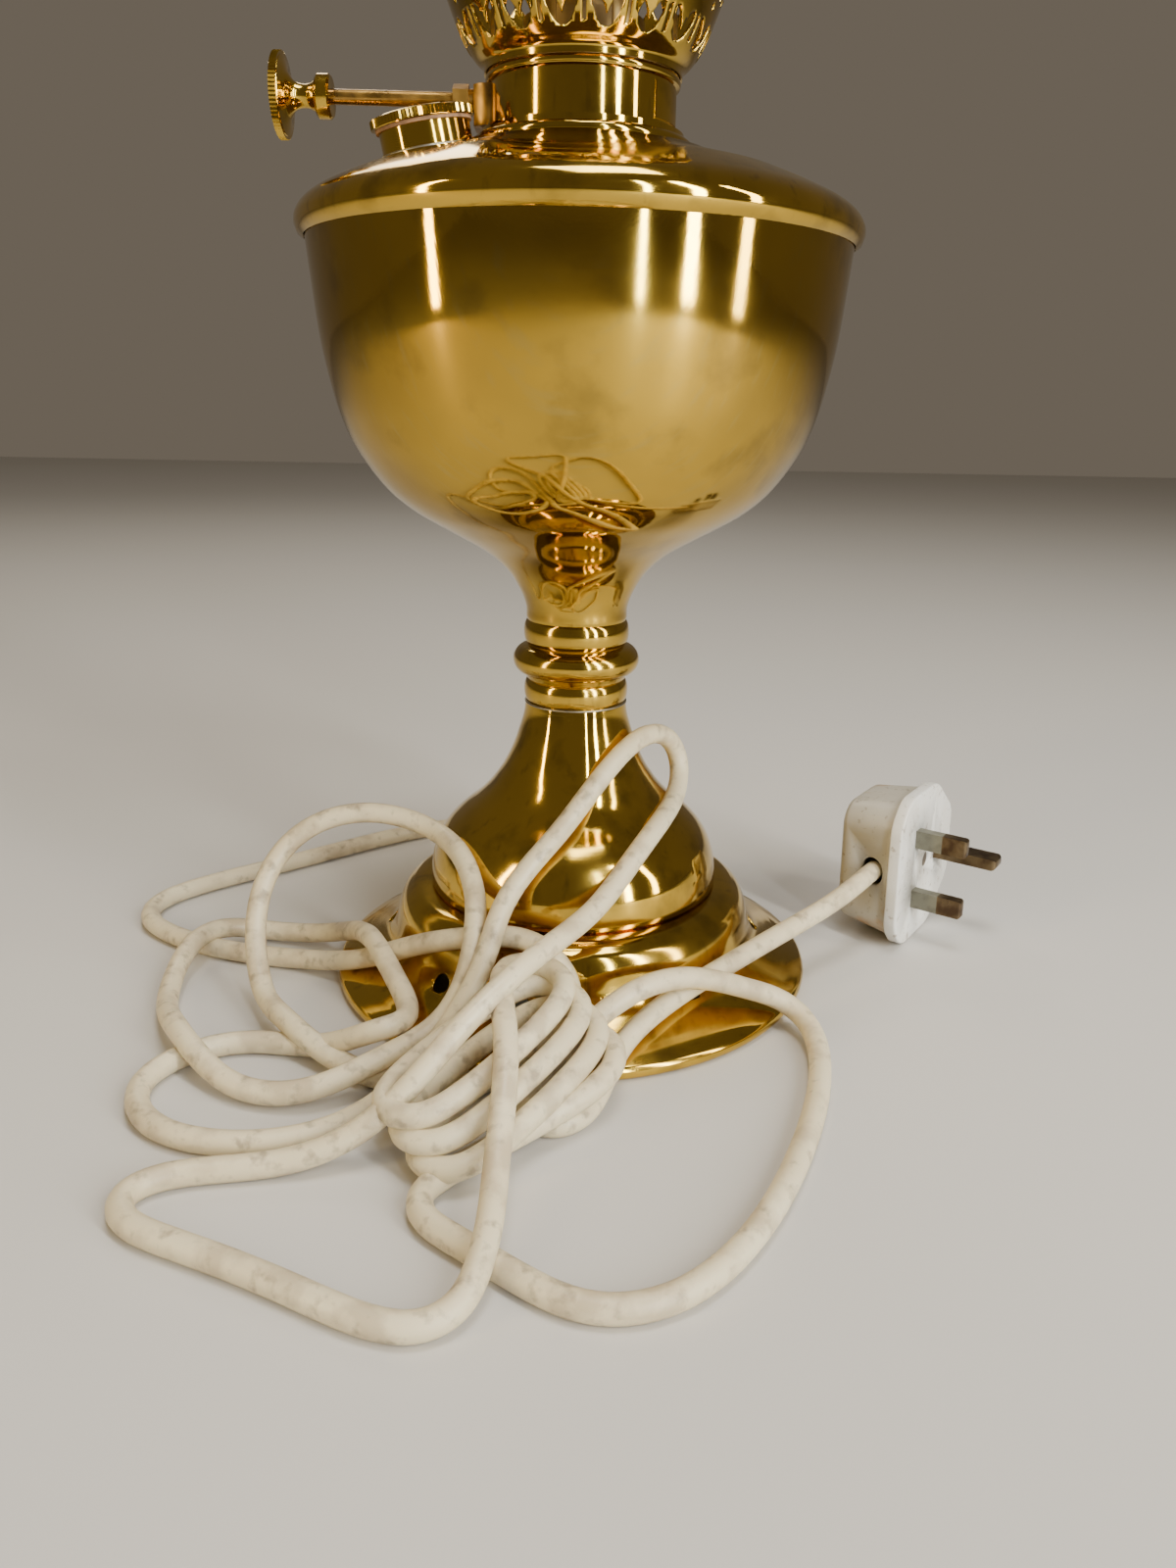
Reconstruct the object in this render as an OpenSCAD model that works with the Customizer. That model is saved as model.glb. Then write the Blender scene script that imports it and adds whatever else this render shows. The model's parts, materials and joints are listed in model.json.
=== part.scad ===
// Brass round-burner table lamp converted to electricity, with its flex and plug.
// Millimetres, +Z up. The origin is the centre of the foot's underside.

/* [Foot] */
// Radius of the foot over its rolled rim
foot_r = 77.6; // [74:0.1:82]
// Number of air holes round the foot
air_holes = 14; // [8:1:16]
// Radius of an air hole
air_hole_r = 3; // [2:0.1:3.6]
// Thickness of the spun brass sheet
sheet_t = 1; // [0.8:0.1:1.2]

/* [Oil font] */
// Radius of the bowl under its seam
bowl_r = 79.2; // [78:0.1:79.4]
// Outer radius of the draught tube through the middle
draught_r = 12.2; // [12:0.1:12.25]
// Distance of the filler from the lamp's axis
filler_reach = 45.6; // [45:0.1:46]
// Direction of the filler round the axis, in degrees
filler_az = 202; // [200:1:206]
// Outward tilt of the filler, in degrees
filler_tilt = 12; // [10:0.5:14]

/* [Burner] */
// Outer radius of the burner's collar
collar_r = 26.6; // [26.4:0.1:26.8]
// Height of the winder's axis
winder_z = 267; // [266.5:0.1:267.5]
// Radius of the winder's shaft
shaft_r = 2.1; // [2.05:0.01:2.12]
// Radius of the winder's disc
knob_r = 11.6; // [10:0.1:13]
// Travel of the wick
wick_travel = 16; // [8:1:16]

/* [Gallery] */
// Cut-out motifs round the gallery
motifs = 18; // [12:1:20]
// Thickness of the gallery's sheet
gallery_t = 0.8; // [0.6:0.1:1]

/* [Flex and plug] */
// Diameter of the round three-core flex
flex_d = 6.4; // [6:0.1:6.6]
// Turns wound round the bundle
coil_turns = 3; // [2:1:3]
// Place of the plug: middle of its face between live and neutral
plug_at = [120, 15, 27];
// Direction of the plug's pins below the X axis, in degrees
plug_heading = 36; // [30:1:40]

/* [Hidden] */

brass = "goldenrod";
brass_dark = "darkgoldenrod";
cream = "ivory";
flex_r = flex_d / 2;

// ---- curves ----
// A list with one more point at each end, in line with its end pair
function ends(p) = concat([2 * p[0] - p[1]], p, [2 * p[len(p) - 1] - p[len(p) - 2]]);
function blend4(a, b, c, d, t) =
    0.5 * (2 * b + (c - a) * t + (2 * a - 5 * b + 4 * c - d) * t * t + (3 * b - a - 3 * c + d) * t * t * t);
// Smooth curve through points: n steps between neighbours
function smooth(p, n) = let (e = ends(p)) concat(
    [for (i = [1 : len(p) - 1]) for (j = [0 : n - 1]) blend4(e[i - 1], e[i], e[i + 1], e[i + 2], j / n)],
    [p[len(p) - 1]]);
function arc(c, rx, ry, a0, a1, n) =
    [for (i = [0 : n]) let (a = a0 + (a1 - a0) * i / n) [c[0] + rx * cos(a), c[1] + ry * sin(a)]];
function flip(p) = [for (i = [len(p) - 1 : -1 : 0]) p[i]];
// The inner side of a wall: each point moved by t away from the outside
function inward(p, t) = let (e = ends(p)) [for (i = [1 : len(p)])
    let (d = e[i + 1] - e[i - 1], l = norm(d)) p[i - 1] - t * [d[1], -d[0]] / l];

module lathe(p) { rotate_extrude($fn = 96) polygon(p); }
module spun_shell(p, t) { lathe(concat(p, flip(inward(p, t)))); }
module ring(r1, r0, z0, z1) {
    translate([0, 0, z0]) difference() {
        cylinder(r = r1, h = z1 - z0, $fn = 72);
        translate([0, 0, -1]) cylinder(r = r0, h = z1 - z0 + 2, $fn = 72);
    }
}

// ---- outlines, radius and height ----
skirt_top_z = 30.3;
skirt_line = concat(
    [[foot_r - 4.2, 0]],
    arc([foot_r - 2.4, 2.4], 2.4, 2.4, -90, 60, 6),
    smooth([[72, 6.2], [66.5, 9], [61.6, 12.2], [59.2, 15.6], [58.2, 19], [57.2, 23.4], [55.4, 27],
        [52.4, 29.4]], 2),
    [[49, skirt_top_z - 0.1], [45.2, skirt_top_z]]);
bell_top_z = 90.5;
bell_line = concat(
    [[45.4, skirt_top_z], [46.8, 31], [47, 33]],
    smooth([[46.7, 36], [46, 40], [44.2, 45], [41.2, 49.5], [37.2, 53.5], [32.4, 57.5], [28.3, 61.7],
        [25.3, 65.7], [22.8, 69.7], [20.1, 75.5], [18, 81.7], [16.7, 86.3], [16.1, bell_top_z]], 2));
knop_top_z = 118;
bead_z = [94.4, 104.3, 113.2];
bead_r = [16.6, 20.1, 16.7];
bead_h = [3.7, 4.7, 4];
groove_r = 15.2;
bowl_top_z = 227.5;
bowl_line = smooth([[15.9, knop_top_z], [16.1, 121.5], [17.9, 126.3], [21.7, 132.5], [28.7, 138.7],
    [40.8, 145.6], [50.4, 151.2], [58.6, 158.2], [66.2, 168.6], [70.4, 177.5], [73.2, 187], [75.9, 200],
    [77.7, 214], [bowl_r, bowl_top_z]], 3);
cone_foot = [60.7, 245.8];
cone_head = [40, 251.4];
shoulder_top_z = 252.6;
shoulder_line = concat(
    [[79.6, bowl_top_z], [81.2, 228.6]],
    smooth([[82, 230.8], [81.8, 233], [80.2, 235.8], [77, 238.4], [72.3, 240.8], [66, 243.6], cone_foot], 2),
    [cone_head, [38.8, shoulder_top_z - 0.2], [37, shoulder_top_z], [28.6, shoulder_top_z]]);
gallery_z = 273.3;
gallery_line = smooth([[28.2, gallery_z], [28.6, 275.4], [31.1, 277.6], [34, 281.7], [36.7, 287.7],
    [39, 293.7], [41.1, 300], [42.3, 306], [42.3, 312], [41.4, 316.6], [41.5, 319.6], [42.6, 322]], 2);

// ---- foot ----
hole_at = [60.2, 13.8];
hole_first_az = -2;
grommet_z = 21;
module foot_skirt() {
    color(brass) difference() {
        spun_shell(skirt_line, sheet_t);
        for (i = [0 : air_holes - 1]) rotate([0, 0, hole_first_az + i * 360 / air_holes])
            translate([hole_at[0], 0, hole_at[1]]) rotate([0, 53, 0])
                cylinder(r = air_hole_r, h = 12, center = true, $fn = 32);
        translate([0, 50, grommet_z]) rotate([-90, 0, 0]) cylinder(r = 5.1, h = 20, $fn = 32);
    }
}
module foot_bell() { color(brass) spun_shell(bell_line, sheet_t); }
module foot_locknut() { color(brass_dark) ring(15.2, draught_r + 0.05, 75, 80); }

// ---- stem ----
module stem_knop() {
    color(brass) lathe(concat(
        [[draught_r + 0.1, bell_top_z], [groove_r + 0.6, bell_top_z]],
        [for (i = [0 : 2])
            for (q = arc([groove_r, bead_z[i]], bead_r[i] - groove_r, bead_h[i], -75, 75, 8)) q],
        [[groove_r + 0.6, knop_top_z], [draught_r + 0.1, knop_top_z]]));
}

// ---- font ----
module at_filler() {
    rotate([0, 0, filler_az]) translate([filler_reach, 0, 250]) rotate([0, filler_tilt, 0]) children();
}
filler_r = 12.5;
filler_bore_r = 11;
filler_top = 6;
module font_bowl() { color(brass) spun_shell(bowl_line, sheet_t); }
module font_shoulder() {
    color(brass) difference() {
        spun_shell(shoulder_line, sheet_t);
        at_filler() cylinder(r = filler_r + 0.1, h = 20, center = true, $fn = 48);
    }
}
module font_collar() {
    color(brass) lathe(concat([[25.6, shoulder_top_z]], arc([30, shoulder_top_z + 2], 2, 2, -90, 90, 6),
        [[29.2, shoulder_top_z + 4], [29.2, 258.4], [25.6, 258.4]]));
}
module draught_tube() { color(brass_dark) ring(draught_r, draught_r - 0.6, 62, 291); }
module filler_neck() {
    color(brass) at_filler() ring(filler_r, filler_bore_r, -4, filler_top);
}
module filler_washer() {
    color("saddlebrown") at_filler() ring(13.2, filler_bore_r, filler_top + 0.02, filler_top + 0.9);
}
module filler_cap() {
    color(brass) at_filler() rotate_extrude($fn = 72) polygon([
        [0, filler_top + 1], [filler_bore_r - 2, filler_top + 1], [filler_bore_r - 2, 1],
        [filler_bore_r - 0.06, 1], [filler_bore_r - 0.06, filler_top + 0.92], [14, filler_top + 0.92],
        [14.3, filler_top + 1.4], [14.3, filler_top + 3], [13.6, filler_top + 3.6], [0, filler_top + 3.9]]);
}

// ---- burner ----
collar_z = 258.4;
collar_top_z = 273;
module burner_collar() {
    color(brass) difference() {
        lathe([[collar_r, collar_z], [collar_r, 270.6], [27.6, 271], [27.9, 272], [27.6, collar_top_z],
            [25.9, collar_top_z], [25.8, collar_z]]);
        translate([-20, 0, winder_z]) rotate([0, -90, 0]) cylinder(r = 3.1, h = 12, $fn = 32);
    }
}
rack_x = -21.5;
rack_w = 2.5;
module burner_deck() {
    color(brass_dark) difference() {
        ring(25.7, 17.3, 270, 271);
        for (i = [0 : 23]) rotate([0, 0, 7.5 + i * 15]) translate([21.5, 0, 269])
            if (i < 10 || i > 12) cylinder(r = 1.5, h = 3, $fn = 24);
        translate([rack_x - 2, -7, 269]) cube([4, 16, 3]);
    }
}
wick_z = [232, 274];
module outer_wick_tube() {
    color(brass_dark) difference() {
        ring(17.2, 16.6, 226, 288);
        translate([-19, 4.4, 225]) cube([8, 3, 42]);
    }
}
// Gap all round between the shaft and what is fixed on it
fit = 0.03;
// Pinion and rack: module 1, ten teeth on a 5 mm pitch radius
pitch_r = 5;
teeth = 10;
tooth_pitch = PI;
rack_y = pitch_r;
module wick_carrier() {
    color(brass_dark) {
        difference() {
            union() {
                ring(16.3, 12.7, wick_z[0] - 3, wick_z[0]);
                translate([rack_x - rack_w / 2, 4.9, wick_z[0] - 3]) cube([8, 2, 3]);
            }
            cylinder(r = 12.7, h = 300, $fn = 72);
        }
        translate([rack_x - rack_w / 2, rack_y + 1, wick_z[0] - 3]) cube([rack_w, 2, 42.4]);
        for (i = [-8 : 1]) translate([rack_x, rack_y, winder_z + i * tooth_pitch]) rotate([0, 90, 0])
            linear_extrude(rack_w, center = true)
                polygon([[-0.97, 1.05], [-0.33, -0.8], [0.33, -0.8], [0.97, 1.05]]);
    }
}
module wick() { color("linen") ring(16.2, 12.8, wick_z[0], wick_z[1]); }
module winder_pinion() {
    color("gold") translate([rack_x, 0, winder_z]) rotate([0, 90, 0]) difference() {
        linear_extrude(rack_w, center = true) union() {
            circle(r = 3.9, $fn = 40);
            for (i = [0 : teeth - 1]) rotate(90 + 180 / teeth + i * 360 / teeth)
                polygon([[3, -0.92], [3.9, -0.9], [pitch_r, -0.6], [5.7, -0.3], [5.7, 0.3], [pitch_r, 0.6],
                    [3.9, 0.9], [3, 0.92]]);
        }
        cylinder(r = shaft_r + fit, h = 10, center = true, $fn = 40);
    }
}
module along_winder(x) { translate([x, 0, winder_z]) rotate([0, -90, 0]) children(); }
module winder_housing() {
    color(brass) difference() {
        intersection() {
            translate([-31, -6.5, collar_z + 1]) cube([8, 13, 11]);
            translate([-26, 0, collar_z]) cylinder(r = 6.5, h = 16, $fn = 48);
        }
        cylinder(r = collar_r, h = 300, $fn = 96);
        along_winder(-20) cylinder(r = 3.1, h = 20, $fn = 32);
    }
}
module winder_gland() {
    color(brass) difference() {
        union() {
            along_winder(-25.8) cylinder(r = 3.05, h = 7.2, $fn = 32);
            along_winder(-32.6) cylinder(r = 4.4, h = 4.4, $fn = 6);
        }
        along_winder(-20) cylinder(r = shaft_r + 0.05, h = 30, $fn = 40);
    }
}
module winder_shaft() { color(brass) along_winder(-19) cylinder(r = shaft_r, h = 66, $fn = 40); }
module winder_knob() {
    color(brass) along_winder(0) rotate_extrude($fn = 64) polygon(concat(
        [[shaft_r + fit, 71.6], [5.4, 71.6], [6, 72.2], [6, 75.2], [5.4, 75.8]],
        smooth([[4.2, 76.2], [3.3, 78], [3.2, 80], [4, 82.2], [6.4, 83.9]], 2),
        [[knob_r - 0.8, 84.6]], arc([knob_r - 0.9, 86], 0.9, 1.2, -80, 80, 5), [[7, 86.4],
            [shaft_r + fit, 86.4]]));
}
plate_az = -28;
module maker_plate() {
    color("goldenrod") intersection() {
        ring(collar_r + 0.5, collar_r, 260, 269.6);
        rotate([0, 0, plate_az]) translate([0, -6.5, 255]) cube([40, 13, 20]);
    }
}

// ---- gallery ----
module gallery() {
    color(brass) difference() {
        spun_shell(gallery_line, gallery_t);
        for (i = [0 : motifs - 1]) rotate([0, 0, i * 360 / motifs]) {
            for (s = [-1, 1]) translate([34.6, s * 2.1, 282.2]) rotate([s * 20, 0, 0])
                cube([12, 1.5, 6.6], center = true);
            translate([30, 0, 293.4]) rotate([0, 90, 0]) cylinder(r = 1.1, h = 16, $fn = 16);
            for (s = [-1, 1]) translate([40, s * 2.6, 302]) rotate([s * -16, 0, 0])
                cube([12, 2, 8], center = true);
            translate([36, 0, 311.6]) rotate([0, 90, 0]) cylinder(r = 2, h = 12, $fn = 20);
        }
    }
}
module chimney_springs() {
    color(brass_dark) {
        ring(27.35, 26.2, gallery_z, gallery_z + 1.2);
        for (i = [0 : 7]) rotate([0, 0, 22.5 + i * 45])
            translate([26.3, -3, gallery_z + 0.4]) cube([0.6, 6, 14.8]);
    }
}

// ---- lampholder ----
holder_z = 297;
module lampholder_bridge() {
    color(brass_dark) {
        ring(13.4, 5.1, 291, 293);
        ring(draught_r - 0.7, 5.1, 286, 291);
    }
}
module lampholder_nipple() { color(brass) ring(5, 3.5, 284, 301); }
module lampholder_locknut() { color(brass) ring(8, 5.05, 293, 296.6); }
module lampholder_base() {
    color(brass) lathe(concat([[5.05, holder_z]], smooth([[8, holder_z], [11.4, holder_z + 1.6],
        [13.6, holder_z + 5.4], [14.2, holder_z + 10]], 3), [[14.2, 311], [13.2, 311], [13.2, 307.4],
        [10, 300.6], [5.05, 299]]));
}
module lampholder_barrel() {
    color(brass) difference() {
        union() {
            ring(13.2, 12, 311.6, 334);
            ring(14.2, 12, 311, 312.4);
        }
        for (a = [0, 180]) rotate([0, 0, a + 90]) {
            translate([10, -1.4, 325.5]) cube([6, 2.8, 12]);
            translate([10, -1.4, 325.5]) cube([6, 7.4, 3]);
        }
    }
}
module shade_ring() { color(brass) ring(17.6, 13.25, 314, 318.4); }
plunger_y = 5.8;
module lampholder_insulator() {
    color([0.2, 0.12, 0.08]) difference() {
        translate([0, 0, 307.6]) cylinder(r = 11.9, h = 12, $fn = 64);
        for (s = [-1, 1]) translate([0, s * plunger_y, 311]) cylinder(r = 2.6, h = 12, $fn = 32);
    }
}
module plunger() {
    color(brass) {
        translate([0, 0, 315]) cylinder(r = 2.55, h = 3.6, $fn = 32);
        translate([0, 0, 318.6]) cylinder(r = 2, h = 4.4, $fn = 32);
    }
}
module contact_plunger_live() { translate([0, plunger_y, 0]) plunger(); }
module contact_plunger_neutral() { translate([0, -plunger_y, 0]) plunger(); }

// ---- flex ----
grommet_mouth_y = 82;
module flex_grommet() {
    color("white") translate([0, 0, grommet_z]) rotate([-90, 0, 0]) rotate_extrude($fn = 48) polygon([
        [flex_r + 0.1, 54], [7, 54], [7, 56], [5, 56], [5, 58.6], [7.2, 58.6], [7.2, 60.4], [5.6, 61.4],
        [4.3, grommet_mouth_y], [flex_r + 0.1, grommet_mouth_y]]);
}
bend_r = 26;
module inner_flex() {
    color(cream) {
        translate([0, bend_r, grommet_z]) rotate([-90, 0, 0])
            cylinder(r = flex_r, h = grommet_mouth_y - bend_r, $fn = 32);
        translate([0, bend_r, grommet_z + bend_r]) rotate([0, 90, 0]) rotate([0, 0, -90])
            rotate_extrude(angle = 90, $fn = 64) translate([bend_r, 0]) circle(r = flex_r, $fn = 32);
        translate([0, 0, grommet_z + bend_r]) cylinder(r = flex_r, h = 306 - grommet_z - bend_r, $fn = 32);
    }
}

// The flex lies on the surface, against the foot and over itself. Its route is in stretches.
run_out = [[0, 82, 21], [-1, 92, 17], [-5, 102, 9], [-14, 112, 3.2], [-34, 119, 3.2], [-60, 115, 3.2],
    [-86, 96, 3.2], [-112, 73, 3.2], [-137, 54, 3.2], [-152, 38, 3.2], [-152, 22, 3.2], [-140, 9, 3.2],
    [-121, -2, 3.2], [-100, -8, 3.2], [-83, -12, 4], [-69, -22, 9], [-57, -32, 17], [-44, -43, 26],
    [-31, -50, 31], [-19, -52, 33], [-9, -56, 32], [-2, -60, 26], [1, -65, 18], [-4, -71, 12], [-13, -77, 7],
    [-22, -82, 4], [-32, -84, 3.2], [-45, -82, 3.2]];
high_loop = [[-60, -76, 3.2], [-74, -67, 7], [-84, -57, 9.6], [-93, -42, 6], [-98, -32, 15], [-100, -22, 29],
    [-95, -13, 42], [-84, -9, 51], [-70, -9, 55], [-57, -9, 54], [-44, -14, 51], [-34, -29, 49],
    [-29, -41, 42], [-28, -52, 37], [-29, -59, 27], [-33, -64, 17], [-40, -70, 11]];
middle_loop = [[-53, -81, 9.6], [-70, -91, 5], [-90, -86, 3.2], [-104, -74, 8], [-115, -59, 9],
    [-123, -42, 3.2], [-127, -22, 5], [-125, -4, 9.6], [-117, 8, 7], [-100, 10, 3.2], [-83, 4, 6],
    [-73, -8, 13], [-66, -21, 19], [-60, -34, 21], [-53, -47, 17], [-47, -58, 14], [-46, -68, 14],
    [-52, -75, 16]];
low_loop = [[-62, -71, 10], [-74, -64, 3.2], [-92, -59, 3.2], [-108, -65, 3.2], [-118, -80, 3.2],
    [-112, -97, 3.2], [-97, -107, 3.2], [-78, -109, 3.2], [-62, -104, 3.2], [-51, -94, 4]];
leaning_loop = [[-41, -82, 8], [-32, -71, 17], [-25, -62, 28], [-22, -54, 39], [-18, -47, 45], [-12, -43, 52],
    [-4, -37, 59], [4, -29, 68], [12, -20, 76], [20, -10, 81], [27, 0, 80], [32, 8, 75], [35, 10, 68],
    [35, 6, 62], [33, -4, 59], [29, -17, 58], [25, -30, 58], [19, -40, 54], [12, -49, 47], [5, -58, 42],
    [-3, -68, 40], [-12, -79, 38], [-21, -90, 34], [-31, -100, 27], [-41, -108, 17]];
front_loop = [[-53, -113, 8], [-68, -116, 3.2], [-84, -118, 3.2], [-97, -120, 3.2], [-105, -127, 3.2],
    [-101, -137, 3.2], [-88, -143, 3.2], [-74, -149, 3.2], [-58, -157, 3.2], [-42, -166, 3.2],
    [-30, -169, 3.2], [-21, -163, 4], [-18, -152, 8], [-17, -141, 10], [-17, -129, 13], [-16, -117, 20],
    [-16, -103, 27], [-18, -89, 31], [-20, -75, 31]];
run_to_plug = [[-31, -120, 3.2], [-36, -128, 3.2], [-33, -137, 3.2], [-23, -144, 3.2], [-10, -155, 3.2],
    [5, -165, 3.2], [25, -161, 3.2], [43, -141, 3.2], [57, -114, 3.2], [67, -88, 3.2], [72, -66, 3.2],
    [71, -50, 5], [63, -44, 9], [52, -49, 14.5], [40, -55, 21], [28, -62, 25], [16, -69, 24], [5, -74, 17],
    [-5, -80, 9], [-12, -88, 5], [-12, -98, 3.2], [-3, -102, 3.2], [5, -95, 3.2], [9, -84, 6], [13, -74, 9.5],
    [20, -65, 12.5], [32, -55, 16.5], [47, -42, 18.5], [61, -29, 20], [74, -17, 21], [86, -7, 23],
    [95, 1, 25.5], [102, 9, 27], [105, 13, 27]];
flex_sides = 8;
function every_second(p) = [for (i = [0 : len(p) - 1]) if (i % 2 == 0 || i == len(p) - 1) p[i]];
function flex_ring(p, d) = let (t = d / norm(d), s0 = cross(t, [0, 0, 1]), s = s0 / norm(s0), u = cross(s, t))
    [for (k = [0 : flex_sides - 1]) let (a = (k + 0.5) * 360 / flex_sides)
        p + flex_r * (cos(a) * s + sin(a) * u)];
module flex_run(p) {
    n = len(p);
    points = [for (i = [0 : n - 1]) for (q = flex_ring(p[i], p[min(i + 1, n - 1)] - p[max(i - 1, 0)])) q];
    faces = concat(
        [[for (k = [0 : flex_sides - 1]) k]],
        [for (i = [0 : n - 2]) for (k = [0 : flex_sides - 1])
            let (a = i * flex_sides, b = a + flex_sides, m = (k + 1) % flex_sides)
                for (f = [[a + k, b + k, a + m], [a + m, b + k, b + m]]) f],
        [[for (k = [flex_sides - 1 : -1 : 0]) (n - 1) * flex_sides + k]]);
    color(cream) polyhedron(points, faces);
}
module flex_lamp_side() {
    flex_run(concat([[0, 82, 21]], every_second([for (i = [1 : len(run_out) - 1]) run_out[i]]),
        every_second(high_loop), every_second(middle_loop), every_second(low_loop),
        every_second(leaning_loop), every_second(front_loop)));
}
module flex_plug_side() { flex_run(every_second(run_to_plug)); }
coil_at = [-19, -93];
coil_heading = 50.3;
coil_slope = 10.8;
coil_half = [34, 25.5];
coil_high = 20;
corner_r = 18;
module flex_coil() {
    corners = [[1, 1, 0], [-1, 1, 90], [-1, -1, 180], [1, -1, 270]];
    color(cream) translate([coil_at[0], coil_at[1], 6.6])
        rotate([0, 0, coil_heading]) rotate([0, -coil_slope, 0])
        linear_extrude(coil_high * coil_turns / 3) polygon([for (q = corners)
            for (p = arc([q[0] * (coil_half[0] - corner_r), q[1] * (coil_half[1] - corner_r)],
                corner_r, corner_r, q[2], q[2] + 90, 6)) p]);
}

// ---- plug: pins along +X, live and neutral one above the other, flex entering along +Y ----
module at_plug() { translate(plug_at) rotate([0, 0, -plug_heading]) children(); }
cord_side = -16;
earth_side = 36;
face_half = 27;
module plug_outline(inset) {
    w = face_half - inset;
    near = cord_side + inset;
    far = earth_side - inset;
    polygon([[near, -19], [near, 19], [cord_side + 8, w], [18, w], [far, 13], [far, -13], [18, -w],
        [cord_side + 8, -w]]);
}
module plug_rounded(inset) { offset(r = 4, $fn = 32) offset(delta = -4) plug_outline(inset); }
// A plate of the plug between two depths behind its face
module plug_plate(x0, x1) {
    translate([x1, 0, 0]) rotate([90, 0, -90]) mirror([1, 0, 0]) linear_extrude(x1 - x0) children();
}
pin_spacing = 22.2;
pin_w = 6.35;
pin_t = 4;
live_pin_l = 17.7;
earth_pin_l = 22.7;
module plug_base() {
    color("whitesmoke") at_plug() difference() {
        plug_plate(-4.5, 0) plug_rounded(0);
        for (s = [-1, 1]) translate([-6, -pin_t / 2, s * pin_spacing / 2 - pin_w / 2])
            cube([8, pin_t, pin_w]);
        translate([-6, pin_spacing - 4, -2]) cube([8, 8, 4]);
        translate([-6, 10, 0]) rotate([0, 90, 0]) cylinder(r = 1.6, h = 8, $fn = 24);
        translate([-1.6, 10, 0]) rotate([0, 90, 0]) cylinder(r = 3, h = 4, $fn = 24);
    }
}
module plug_cover() {
    color("whitesmoke") at_plug() difference() {
        hull() {
            plug_plate(-12, -4.5) plug_rounded(2.6);
            plug_plate(-24, -22) plug_rounded(5.5);
        }
        plug_plate(-21.5, -4.4) plug_outline(7.8);
        translate([-11, cord_side - 2, 0]) rotate([-90, 0, 0]) cylinder(r = 4.2, h = 14, $fn = 32);
    }
}
module flat_pin(l, w, t) {
    translate([-12, -t / 2, -w / 2]) cube([l + 12, t, w]);
}
module plug_live_pin() {
    color("silver") at_plug() translate([0, 0, pin_spacing / 2]) difference() {
        flat_pin(live_pin_l, pin_w, pin_t);
        sleeve_cut();
    }
}
module plug_neutral_pin() {
    color("silver") at_plug() translate([0, 0, -pin_spacing / 2]) difference() {
        flat_pin(live_pin_l, pin_w, pin_t);
        sleeve_cut();
    }
}
module sleeve_box() { translate([0, -pin_t / 2, -pin_w / 2]) cube([9.2, pin_t, pin_w]); }
module sleeve_core() { translate([-1, -pin_t / 2 + 0.5, -pin_w / 2 + 0.5]) cube([12, pin_t - 1, pin_w - 1]); }
module sleeve_cut() {
    difference() {
        sleeve_box();
        sleeve_core();
    }
}
module plug_earth_pin() {
    color("silver") at_plug() translate([-12, pin_spacing - 4, -2]) cube([earth_pin_l + 12, 8, 4]);
}
module plug_pin_sleeves() {
    color("gray") at_plug() for (s = [-1, 1]) translate([0, 0, s * pin_spacing / 2]) difference() {
        sleeve_box();
        sleeve_core();
    }
}
module plug_fuse() {
    color("white") at_plug() translate([-16.4, 5, 8]) rotate([-90, 0, 0])
        cylinder(r = 3.15, h = 22, $fn = 32);
}
module plug_cord_grip() {
    color("whitesmoke") at_plug() translate([-7.6, cord_side + 8.2, -11]) cube([2.6, 5.5, 22]);
}
module plug_screws() {
    color("silver") at_plug() {
        translate([-12, 10, 0]) rotate([0, 90, 0]) cylinder(r = 1.5, h = 10.6, $fn = 24);
        translate([-1.5, 10, 0]) rotate([0, 90, 0]) cylinder(r = 2.7, h = 1, $fn = 24);
        for (s = [-1, 1]) translate([-9.6, cord_side + 11, s * 8.5]) rotate([0, 90, 0])
            cylinder(r = 1.3, h = 1.9, $fn = 24);
    }
}

foot_skirt();
foot_bell();
foot_locknut();
stem_knop();
font_bowl();
font_shoulder();
font_collar();
draught_tube();
filler_neck();
filler_washer();
filler_cap();
burner_collar();
burner_deck();
outer_wick_tube();
wick_carrier();
wick();
winder_housing();
winder_gland();
winder_shaft();
winder_pinion();
winder_knob();
maker_plate();
gallery();
chimney_springs();
lampholder_bridge();
lampholder_nipple();
lampholder_locknut();
lampholder_base();
lampholder_barrel();
shade_ring();
lampholder_insulator();
contact_plunger_live();
contact_plunger_neutral();
flex_grommet();
inner_flex();
flex_lamp_side();
flex_coil();
flex_plug_side();
plug_base();
plug_cover();
plug_live_pin();
plug_neutral_pin();
plug_earth_pin();
plug_pin_sleeves();
plug_fuse();
plug_cord_grip();
plug_screws();
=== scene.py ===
import json
import math

import bmesh
import bpy
from mathutils import Matrix, Vector

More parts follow.
